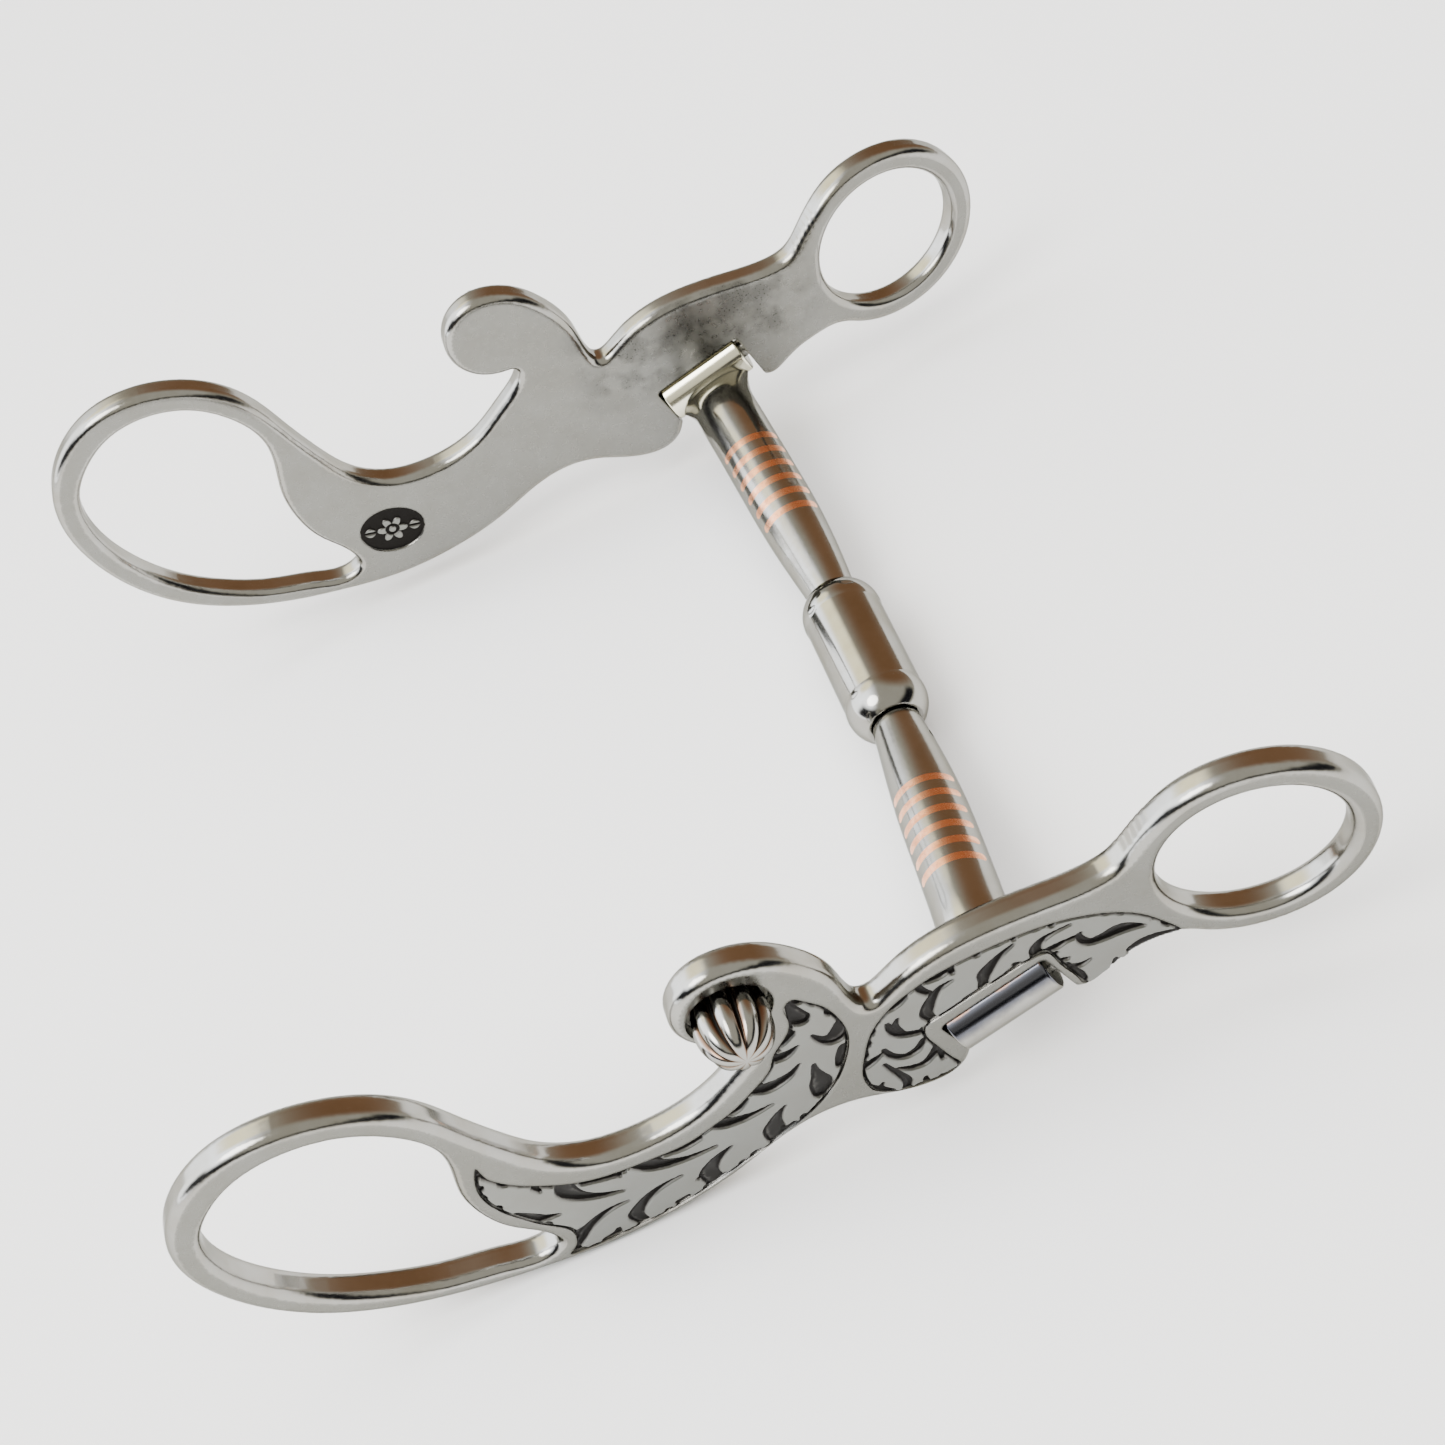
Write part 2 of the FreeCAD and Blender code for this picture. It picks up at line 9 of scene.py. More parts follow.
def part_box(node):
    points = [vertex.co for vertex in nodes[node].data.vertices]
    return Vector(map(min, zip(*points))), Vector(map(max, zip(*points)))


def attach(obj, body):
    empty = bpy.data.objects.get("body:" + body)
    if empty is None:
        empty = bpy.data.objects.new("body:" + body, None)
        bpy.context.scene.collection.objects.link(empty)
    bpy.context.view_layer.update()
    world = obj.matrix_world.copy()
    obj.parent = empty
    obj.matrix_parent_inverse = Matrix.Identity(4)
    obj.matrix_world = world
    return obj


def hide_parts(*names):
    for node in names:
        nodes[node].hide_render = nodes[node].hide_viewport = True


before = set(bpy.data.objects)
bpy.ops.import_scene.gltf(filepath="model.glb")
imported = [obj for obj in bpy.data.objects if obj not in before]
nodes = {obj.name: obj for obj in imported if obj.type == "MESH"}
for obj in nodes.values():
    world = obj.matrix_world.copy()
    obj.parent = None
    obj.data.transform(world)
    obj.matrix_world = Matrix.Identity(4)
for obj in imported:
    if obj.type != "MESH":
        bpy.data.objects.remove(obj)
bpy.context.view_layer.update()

# The looks of the curb bit.  Everything that moves or fits is the CAD frame's; this script cuts the
# foliage into the cheeks' sunk fields, flutes the buds, sets a rosette in each badge and gives every
# piece its metal.  The frame is in metres.  The cheek drawing is in millimetres, as on a bare cheek
# lying flat: u runs along the shank towards the purchase ring, v runs up from the belly.

MM = 0.001
SIDES = {"left": -1, "right": 1}

HALF_PLATE = 2.25
PLATE_MIDDLE = 65.75
PANEL_DEPTH = 0.55
BARREL_U, BARREL_V = 32.1, -17.1
LEVEL_TURN = 9.5
REST_SWIVEL = 3.8
FLARE_START = 44.8
FLARE_PITCH = 0.6
FLARE_STEPS = 6
FLARE_TURN = 1.5

CELL = 0.15                    # spacing of the cut fields' surface
CUT_SPREAD = 0.1               # added to every cut's half width
WALL = 0.24                    # width of a cut's sloping wall
BORDER_CUT = 0.34              # least width of the line cut just inside each field's edge
SCALLOP = 0.5                  # how much wider that line grows between the leaves' lobes
HOLLOW_REACH = 0.5             # how far into a cut its floor slopes up to the shallow side
SHALLOW_LIFT = 0.42            # height of that shallow side, of the field's depth
LEAST_HEIGHT = 0.03            # height of the deepest cuts, of the field's depth
SKIRT = 0.05                   # how far a relief's underside lies below its field's floor

# ---- places on a cheek ---------------------------------------------------------------------------

low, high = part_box("barrel_roller")
BARREL = (low + high) / 2


def flared(u, y):
    """The bend at the purchase ring: where points at length u and depth y end up."""
    start = u
    turn = math.radians(FLARE_TURN)
    bend = np.array([FLARE_START, HALF_PLATE])
    for step in range(FLARE_STEPS):
        moved = start > FLARE_START + step * FLARE_PITCH
        du, dy = u - bend[0], y - bend[1]
        u = np.where(moved, bend[0] + du * math.cos(turn) - dy * math.sin(turn), u)
        y = np.where(moved, bend[1] + du * math.sin(turn) + dy * math.cos(turn), y)
        lean = turn * (step + 1)
        bend = bend + FLARE_PITCH * np.array([math.cos(lean), math.sin(lean)])
    return u, y


def cheek_points(side, u, v, y):
    """Row-frame points of a cheek from drawing points u, v at depth y from the plate's middle."""
    sign = SIDES[side]
    turn = math.radians(LEVEL_TURN + sign * REST_SWIVEL / 2)
    u, y = flared(np.asarray(u, float), np.asarray(y, float))
    du, dv = u - BARREL_U, np.asarray(v, float) - BARREL_V
    x = BARREL.x + MM * (du * math.cos(turn) + dv * math.sin(turn))
    z = BARREL.z + MM * (dv * math.cos(turn) - du * math.sin(turn))
    across = np.broadcast_to(BARREL.y + sign * MM * (PLATE_MIDDLE + y), x.shape)
    return np.stack([x, across, z], axis=-1)


# ---- curves and distances in the drawing ---------------------------------------------------------

def rounded(points, closed, steps=8):
    """Points of a smooth curve through the given ones; any further values are carried along."""
    p = np.array(points, float)
    count = len(p)
    spans = count if closed else count - 1
    curve = []
    for i in range(spans):
        ends = [i - 1, i, i + 1, i + 2]
        ends = [k % count for k in ends] if closed else [min(max(k, 0), count - 1) for k in ends]
        a, b, c, d = p[ends]
        for t in np.arange(steps) / steps:
            curve.append(0.5 * (2 * b + (c - a) * t + (2 * a - 5 * b + 4 * c - d) * t ** 2
                                + (3 * b - a - 3 * c + d) * t ** 3))
    if not closed:
        curve.append(p[-1])
    return np.array(curve)


def inside_distance(points, outline):
    """How far each point is inside the outline; negative outside."""
    distance = np.full(len(points), 1e9)
    crossings = np.zeros(len(points), bool)
    for a, b in zip(outline, np.roll(outline, -1, axis=0)):
        along = b - a
        if not along.any():
            continue
        t = np.clip(((points - a) @ along) / (along @ along), 0, 1)
        distance = np.minimum(distance, np.linalg.norm(points - a - t[:, None] * along, axis=1))
        spans = (a[1] > points[:, 1]) != (b[1] > points[:, 1])
        if spans.any():
            edge = a[0] + along[0] * (points[:, 1] - a[1]) / (along[1] if along[1] else 1)
            crossings ^= spans & (points[:, 0] < edge)
    return np.where(crossings, distance, -distance)


def stroke_field(points, strokes):
    """Distance outside the nearest cut, and how far to its deep side each point lies, from 0 to 1."""
    outside = np.full(len(points), 1e9)
    deep = np.zeros(len(points))
    for stroke in strokes:
        path = rounded(stroke, closed=False, steps=6)
        for a, b in zip(path[:-1], path[1:]):
            along = b[:2] - a[:2]
            offset = points - a[:2]
            t = np.clip((offset @ along) / max(along @ along, 1e-9), 0, 1)
            radius = np.maximum(a[2] + t * (b[2] - a[2]), 0.01)
            gap = np.linalg.norm(offset - t[:, None] * along, axis=1) - radius
            right = (offset[:, 0] * along[1] - offset[:, 1] * along[0]) / max(np.linalg.norm(along), 1e-9)
            nearer = gap < outside
            outside = np.where(nearer, gap, outside)
            deep = np.where(nearer, np.clip(0.5 + 0.5 * right / radius, 0, 1), deep)
    return outside, deep


def smoothstep(x):
    x = np.clip(x, 0, 1)
    return x * x * (3 - 2 * x)


# ---- materials -----------------------------------------------------------------------------------

SMUDGE_SCALE = 140             # noise scales, per metre
FINE_SCALE = 900
SCRATCH_SCALE = 500
PIT_SCALE = 2600
PATCH_SCALE = 190
PLATE_INNER = (0.0640, 0.0646)      # distance from the mouth's middle at a cheek's inner face
SLEEVE_OUTER = (0.0650, 0.0662)     # and where the sleeve's outer half begins
SCRATCH_STRETCH = (1, 4, 9)
SCRATCH_TURN = (0.4, 0.2, 0.7)


class Paint:
    """A node material under construction, with short calls for its usual nodes."""

    def __init__(self, name):
        self.material = bpy.data.materials.new(name)
        self.material.use_nodes = True
        self.tree = self.material.node_tree
        self.shader = self.tree.nodes["Principled BSDF"]
        self.coordinates = self.tree.nodes.new("ShaderNodeTexCoord")

    def node(self, kind, inputs=(), **settings):
        made = self.tree.nodes.new(kind)
        for key, value in settings.items():
            setattr(made, key, value)
        for key, value in dict(inputs).items():
            self.feed(made.inputs[key], value)
        return made

    def feed(self, socket, value):
        if isinstance(value, bpy.types.NodeSocket):
            self.tree.links.new(value, socket)
        else:
            socket.default_value = value

    def math(self, operation, a, b=0.0, c=0.0):
        return self.node("ShaderNodeMath", {0: a, 1: b, 2: c}, operation=operation).outputs[0]

    def ramp(self, value, low, high, start=0.0, end=1.0):
        """Rises smoothly from start to end as value goes from low to high."""
        sockets = {"Value": value, "From Min": low, "From Max": high, "To Min": start, "To Max": end}
        made = self.node("ShaderNodeMapRange", sockets, interpolation_type="SMOOTHSTEP", clamp=True)
        return made.outputs["Result"]

    def noise(self, scale, detail=3.0, rough=0.5, stretch=None, turn=(0, 0, 0)):
        place = self.coordinates.outputs["Object"]
        if stretch:
            sockets = {"Vector": place, "Scale": stretch, "Rotation": turn}
            place = self.node("ShaderNodeMapping", sockets).outputs[0]
        sockets = {"Vector": place, "Scale": scale, "Detail": detail, "Roughness": rough}
        return self.node("ShaderNodeTexNoise", sockets).outputs["Fac"]

    def mix(self, share, first, second):
        made = self.node("ShaderNodeMix", data_type="RGBA")
        self.feed(made.inputs["Factor"], share)
        self.feed(made.inputs["A"], first if isinstance(first, bpy.types.NodeSocket) else (*first, 1))
        self.feed(made.inputs["B"], second if isinstance(second, bpy.types.NodeSocket) else (*second, 1))
        return made.outputs["Result"]

    def crevice(self, reach):
        """From 0 in a tight corner to 1 in the open."""
        return self.node("ShaderNodeAmbientOcclusion", {"Distance": reach * MM}, samples=8).outputs["AO"]

    def bump(self, height, strength, distance, soften=0.0):
        sockets = {"Height": height, "Strength": strength, "Distance": distance * MM}
        if soften:
            softened = self.node("ShaderNodeBevel", {"Radius": soften * MM}, samples=6)
            sockets["Normal"] = softened.outputs["Normal"]
        self.feed(self.shader.inputs["Normal"], self.node("ShaderNodeBump", sockets).outputs["Normal"])


STEEL = (0.33, 0.325, 0.305)
STEEL_WARM = (0.29, 0.278, 0.245)
STEEL_EDGE = (0.45, 0.45, 0.43, 1)
SATIN = (0.210, 0.209, 0.192)
SATIN_WARM = (0.192, 0.189, 0.169)
LEAF = (0.186, 0.190, 0.175)
LEAF_WARM = (0.172, 0.171, 0.154)
STRAW = (0.86, 0.83, 0.66)
# Near-black: the real patina in the cuts, and also the painted shade in the steel's corners.
PATINA_AND_SHADE_BLACK = (0.012, 0.011, 0.010)
PATINA_GREY = (0.15, 0.145, 0.135)
GROOVE_SHADE_BROWN = (0.18, 0.11, 0.07)
# Painted reflections on the sleeve: the dark room and the warm wall.
REFLECTED_ROOM_BLUE = (0.075, 0.08, 0.105)
REFLECTED_WALL_BROWN = (0.30, 0.15, 0.08)
COPPER = (0.86, 0.42, 0.24)
COPPER_DARK = (0.62, 0.26, 0.13)
COPPER_DIRT_AND_SHADE = (0.05, 0.02, 0.01)


def steel(name, polish, crevice_reach=0.8, faces_satin=False, pitted=False, straw_and_reflections=False,
          grooved=False, soften=0.0):
    """Stainless steel with a hand-polished, slightly smudged surface; its corners are darkened by dirt and
    painted shade.
    """
    paint = Paint(name)
    smudge = paint.noise(SMUDGE_SCALE, detail=4, rough=0.6)
    fine = paint.noise(FINE_SCALE, detail=2)
    colour = paint.mix(paint.ramp(smudge, 0.35, 0.7), STEEL, STEEL_WARM)
    roughness = paint.ramp(smudge, 0.3, 0.75, polish, polish + 0.07)
    facing = paint.node("ShaderNodeSeparateXYZ", {0: paint.coordinates.outputs["Normal"]})
    if faces_satin:
        flat = paint.ramp(paint.math("ABSOLUTE", facing.outputs["Y"]), 0.93, 0.99)
        matt = paint.mix(paint.ramp(smudge, 0.3, 0.75), SATIN, SATIN_WARM)
        grain = paint.ramp(fine, 0.3, 0.7, 0.26, 0.34)
        colour = paint.mix(flat, colour, matt)
        roughness = paint.node("ShaderNodeMix", {0: flat, 2: roughness, 3: grain}).outputs[0]
    if straw_and_reflections:
        colour = weld_straw_and_painted_reflections(paint, facing, smudge, colour)
    # Painted shade: where the AO node finds close surfaces the colour goes near-black, standing for shade and
    # dirt in the corners together.
    open_air = paint.crevice(crevice_reach)
    grime_and_shade = paint.math("MULTIPLY", paint.ramp(open_air, 0.25, 0.72, 1, 0), paint.ramp(fine, 0.2, 0.6, 0.85, 1))
    if grooved:
        # Painted shade down the bud's grooves: brown, going near-black where they are deepest.
        depth = paint.node("ShaderNodeAttribute", attribute_name="cut_depth").outputs["Fac"]
        colour = paint.mix(paint.ramp(depth, 0.15, 0.5), colour, GROOVE_SHADE_BROWN)
        grime_and_shade = paint.math("MAXIMUM", grime_and_shade, paint.ramp(depth, 0.42, 0.75))
    height = paint.noise(SCRATCH_SCALE, detail=3, stretch=SCRATCH_STRETCH, turn=SCRATCH_TURN)
    if pitted:
        place = paint.node("ShaderNodeSeparateXYZ", {0: paint.coordinates.outputs["Object"]})
        behind = paint.ramp(place.outputs["X"], 0.004, 0.014)
        ahead = paint.ramp(place.outputs["X"], 0.042, 0.052, 1, 0)
        raised = paint.ramp(place.outputs["Z"], 0.016, 0.022)
        inner = paint.ramp(paint.math("ABSOLUTE", place.outputs["Y"]), *PLATE_INNER, 1, 0)
        where = paint.math("MULTIPLY", behind, ahead)
        where = paint.math("MULTIPLY", where, paint.math("MULTIPLY", raised, inner))
        specks = paint.ramp(paint.noise(PIT_SCALE, detail=2, rough=0.7), 0.55, 0.66)
        patchy = paint.ramp(paint.noise(PATCH_SCALE, detail=3), 0.40, 0.62)
        cloud = paint.math("MULTIPLY", paint.math("MULTIPLY", patchy, where), 0.42)
        pits = paint.math("MULTIPLY", paint.math("MULTIPLY", specks, patchy), where)
        grime_and_shade = paint.math("MAXIMUM", grime_and_shade, paint.math("MAXIMUM", cloud, paint.math("MULTIPLY", pits, 0.9)))
        height = paint.math("SUBTRACT", height, paint.math("MULTIPLY", pits, 3.0))
    paint.feed(paint.shader.inputs["Base Color"], paint.mix(grime_and_shade, colour, PATINA_AND_SHADE_BLACK))
    roughness = paint.math("MAXIMUM", roughness, paint.math("MULTIPLY", grime_and_shade, 0.45))
    paint.feed(paint.shader.inputs["Roughness"], roughness)
    paint.shader.inputs["Metallic"].default_value = 1.0
    paint.shader.inputs["Specular Tint"].default_value = STEEL_EDGE
    paint.bump(height, 0.05, 0.02, soften)
    return paint.material


def weld_straw_and_painted_reflections(paint, facing, smudge, colour):
    """The sleeve's straw weld colour on its inner half; on the top of its outer half, painted reflections: a
    brown band where the surface faces straight up, for the warm wall, and a dark blue band below it, for the
    dark room.
    """
    place = paint.node("ShaderNodeSeparateXYZ", {0: paint.coordinates.outputs["Object"]})
    outer = paint.ramp(paint.math("ABSOLUTE", place.outputs["Y"]), *SLEEVE_OUTER)
    # Painted reflections: these bands follow which way the surface faces, not where the weld is.
    wander = paint.math("ADD", facing.outputs["Z"], paint.ramp(smudge, 0.3, 0.7, -0.08, 0.08))
    dark_room_band = paint.math("MULTIPLY", paint.ramp(wander, 0.15, 0.50), 0.88)
    brown_wall_band = paint.math("MULTIPLY", paint.ramp(wander, 0.84, 0.93), 0.8)
    banded = paint.mix(dark_room_band, colour, REFLECTED_ROOM_BLUE)
    banded = paint.mix(brown_wall_band, banded, REFLECTED_WALL_BROWN)
    return paint.mix(outer, STRAW, banded)


def cut_steel():
    """The foliage's metal: satin where flush, blackened where it is cut down."""
    paint = Paint("cut_foliage_steel")
    depth = paint.node("ShaderNodeAttribute", attribute_name="cut_depth").outputs["Fac"]
    fine = paint.noise(FINE_SCALE, detail=2)
    smudge = paint.noise(SMUDGE_SCALE, detail=4, rough=0.6)
    flush = paint.mix(paint.ramp(smudge, 0.3, 0.75), LEAF, LEAF_WARM)
    shallow = paint.mix(paint.ramp(depth, 0.10, 0.45), flush, PATINA_GREY)
    worn = paint.math("ADD", depth, paint.ramp(fine, 0.3, 0.7, -0.06, 0.06))
    paint.feed(paint.shader.inputs["Base Color"], paint.mix(paint.ramp(worn, 0.40, 0.75), shallow, PATINA_AND_SHADE_BLACK))
    paint.feed(paint.shader.inputs["Roughness"], paint.ramp(depth, 0.05, 0.6, 0.30, 0.50))
    paint.shader.inputs["Metallic"].default_value = 1.0
    paint.bump(paint.noise(SCRATCH_SCALE, detail=3, stretch=SCRATCH_STRETCH, turn=SCRATCH_TURN), 0.05, 0.02)
    return paint.material


def copper():
    paint = Paint("inlay_copper")
    patch = paint.noise(600, detail=4, rough=0.65)
    colour = paint.mix(paint.ramp(patch, 0.35, 0.7), COPPER, COPPER_DARK)
    # Painted shade: corners that the AO node finds close go dark brown, for shade and dirt together.
    grime_and_shade = paint.ramp(paint.crevice(0.3), 0.3, 0.7, 1, 0)
    paint.feed(paint.shader.inputs["Base Color"], paint.mix(grime_and_shade, colour, COPPER_DIRT_AND_SHADE))
    paint.feed(paint.shader.inputs["Roughness"], paint.ramp(patch, 0.3, 0.7, 0.18, 0.34))
    paint.shader.inputs["Metallic"].default_value = 1.0
    paint.bump(patch, 0.08, 0.02)
    return paint.material


shank_steel = steel("shank_satin_steel", 0.11, faces_satin=True, pitted=True, soften=0.5)
bud_steel = steel("bud_steel", 0.14, crevice_reach=1.6, grooved=True)
sleeve_steel = steel("sleeve_steel", 0.12, straw_and_reflections=True)
arm_steel = steel("mouthpiece_steel", 0.13, crevice_reach=0.3)
barrel_steel = steel("barrel_steel", 0.08, soften=0.3)
pin_steel = steel("pin_steel", 0.25)
foliage_steel = cut_steel()
band_copper = copper()


def assign(node, material):
    for index in range(max(1, len(node.material_slots))):
        if node.material_slots:
            node.material_slots[index].material = material
        else:
            node.data.materials.append(material)


METALS = {
    "shank": shank_steel, "scroll_bud": bud_steel, "hinge_sleeve": sleeve_steel, "mouth_arm": arm_steel,
    "barrel_roller": barrel_steel, "copper_band": band_copper, "hinge_pin": pin_steel,
    "axle": pin_steel, "dowel": pin_steel,
}
for name, node in nodes.items():
    for part, metal in METALS.items():
        if part in name:
            assign(node, metal)
            break

# ---- cut fields ----------------------------------------------------------------------------------

REIN_FIELD = [
    (-41.4, -4.6), (-42.3, -8.1), (-42.4, -11.0), (-41.9, -13.8), (-40.6, -17.1), (-38.7, -20.4),
    (-36.8, -23.1), (-34.9, -25.2), (-33.9, -27.2), (-33.9, -29.2), (-34.6, -31.0), (-35.5, -32.3),
    (-33.0, -32.5), (-29.1, -32.1), (-25.2, -31.4), (-21.4, -30.6), (-17.5, -29.2), (-13.7, -27.5),
    (-9.9, -25.4), (-6.0, -23.5), (-2.5, -21.3), (0.2, -19.2), (2.9, -16.5), (4.9, -13.5),
    (6.3, -10.0), (7.1, -6.5), (7.1, -3.1), (6.3, 0.2), (4.8, 3.5), (2.8, 5.8), (1.3, 6.9),
    (0.4, 6.0), (0.4, 3.1), (0.0, 0.6), (-1.2, -1.4), (-2.5, -3.4), (-3.3, -5.9), (-4.6, -7.8),
    (-6.2, -9.4), (-8.0, -11.2), (-9.9, -12.7), (-12.2, -14.0), (-14.6, -15.3), (-17.0, -16.1),
    (-19.8, -16.4), (-23.5, -16.6), (-27.5, -16.5), (-30.2, -15.9), (-32.9, -14.7), (-35.6, -13.0),
    (-38.3, -10.8), (-40.2, -8.4), (-40.9, -6.4),
]
# Cuts from root to tip, each point with the cut's half width.  A cut is deepest along its right side.
REIN_CUTS = [
    [(0.9, 5.8, 0.4), (1.4, 3.8, 0.8), (1.9, 2.2, 1.1)],
    [(-2.6, -2.0, 0.1), (-1.2, -1.5, 0.45), (0.3, -0.2, 0.45)],
    [(-3.1, -4.2, 0.6), (-1.6, -4.4, 0.7), (-0.4, -4.0, 0.4), (0.7, -3.3, 0.03)],
    [(-6.4, -9.4, 0.6), (-4.5, -10.0, 1.0), (-2.7, -9.7, 0.75), (-0.9, -8.8, 0.4),
     (0.3, -7.4, 0.03)],
    [(-10.2, -13.1, 0.15), (-8.8, -12.4, 0.45), (-7.4, -11.2, 0.3)],
    [(-12.2, -14.2, 0.5), (-10.7, -14.6, 0.9), (-8.6, -14.9, 0.65), (-6.5, -14.7, 0.3),
     (-4.3, -14.1, 0.03)],
    [(-20.0, -16.7, 0.2), (-17.0, -16.7, 0.4), (-14.5, -15.9, 0.35)],
    [(-23.0, -16.9, 0.7), (-21.4, -17.9, 1.15), (-19.4, -18.9, 0.8), (-16.5, -19.4, 0.35),
     (-12.7, -19.0, 0.03)],
    [(-30.2, -16.5, 0.3), (-27.5, -17.0, 0.4), (-25.9, -17.2, 0.45), (-25.5, -17.9, 0.08)],
    [(-32.4, -15.2, 1.0), (-32.4, -17.2, 1.2), (-31.2, -19.1, 0.85), (-29.0, -20.6, 0.45),
     (-25.8, -21.5, 0.03)],
    [(-35.9, -13.6, 0.3), (-35.5, -14.8, 0.08)],
    [(-34.8, -13.8, 0.2), (-33.8, -14.4, 0.35)],
    [(-39.6, -18.2, 0.4), (-37.9, -20.2, 0.8), (-36.6, -21.2, 0.6), (-34.5, -21.6, 0.03)],
    [(-34.6, -31.5, 0.3), (-33.2, -29.3, 0.6), (-32.0, -27.5, 0.65), (-30.1, -25.8, 0.45),
     (-28.2, -24.8, 0.25), (-25.8, -24.3, 0.03)],
    [(-33.3, -27.6, 0.5), (-32.4, -27.2, 0.4)],
    [(-30.3, -31.8, 0.35), (-28.8, -31.3, 0.45), (-28.3, -30.2, 0.06)],
    [(-25.0, -30.4, 0.7), (-25.5, -28.6, 0.9), (-24.4, -26.6, 0.7), (-22.5, -24.7, 0.45),
     (-20.4, -23.6, 0.22), (-18.2, -23.0, 0.03)],
    [(-19.6, -29.2, 0.4), (-18.3, -28.4, 0.08)],
    [(-14.3, -26.8, 1.1), (-14.7, -24.9, 1.15), (-13.8, -23.0, 0.8), (-12.5, -21.6, 0.45),
     (-10.9, -20.4, 0.03)],
    [(-15.2, -25.2, 0.6), (-16.4, -25.3, 0.06)],
    [(-8.3, -24.2, 0.4), (-7.9, -23.6, 0.06)],
    [(-5.2, -22.0, 0.9), (-5.0, -20.2, 1.3), (-4.6, -18.5, 0.8), (-3.9, -17.0, 0.4),
     (-2.8, -15.6, 0.03)],
    [(-3.4, -21.2, 0.6), (-2.3, -20.4, 0.35)],
    [(1.9, -15.6, 0.7), (2.4, -13.6, 1.35), (2.3, -11.7, 0.75), (2.1, -10.2, 0.35),
     (2.1, -8.6, 0.03)],
    [(6.6, -1.6, 0.6), (6.3, -3.1, 1.1), (5.5, -4.2, 1.15), (4.5, -4.2, 0.8), (3.5, -3.4, 0.35),
     (2.8, -2.2, 0.03)],
    [(6.3, -7.0, 0.5), (5.8, -8.8, 0.6), (5.2, -10.8, 0.25)],
]

PURCHASE_FIELD = [
    (8.5, -19.0), (8.2, -18.0), (7.8, -15.6), (8.0, -13.1), (8.5, -10.9), (9.4, -7.6), (10.7, -4.9),
    (12.3, -2.9), (13.7, -1.6), (15.5, -0.4), (17.8, 0.8), (20.3, 1.7), (23.5, 2.5), (27.2, 3.1),
    (30.7, 3.4), (34.1, 3.4), (37.0, 3.0), (39.8, 2.2), (42.6, 1.0), (45.3, -0.7), (47.9, -2.9),
    (49.8, -4.9), (51.2, -6.6), (51.5, -7.6), (50.6, -7.9), (48.3, -8.3), (45.1, -9.5),
    (43.4, -10.5), (41.2, -11.9), (39.4, -13.0), (38.6, -12.9), (37.6, -11.1), (36.0, -7.8),
    (34.9, -5.3), (34.1, -3.4), (33.4, -2.7), (31.9, -2.8), (27.9, -4.4), (23.5, -6.2),
    (18.6, -8.4), (17.1, -9.3), (16.8, -10.5), (17.9, -14.0), (18.8, -16.2), (20.1, -18.9),
    (20.7, -20.4), (20.3, -21.3), (17.6, -22.1), (14.8, -22.3), (11.6, -21.9), (9.7, -20.6),
]
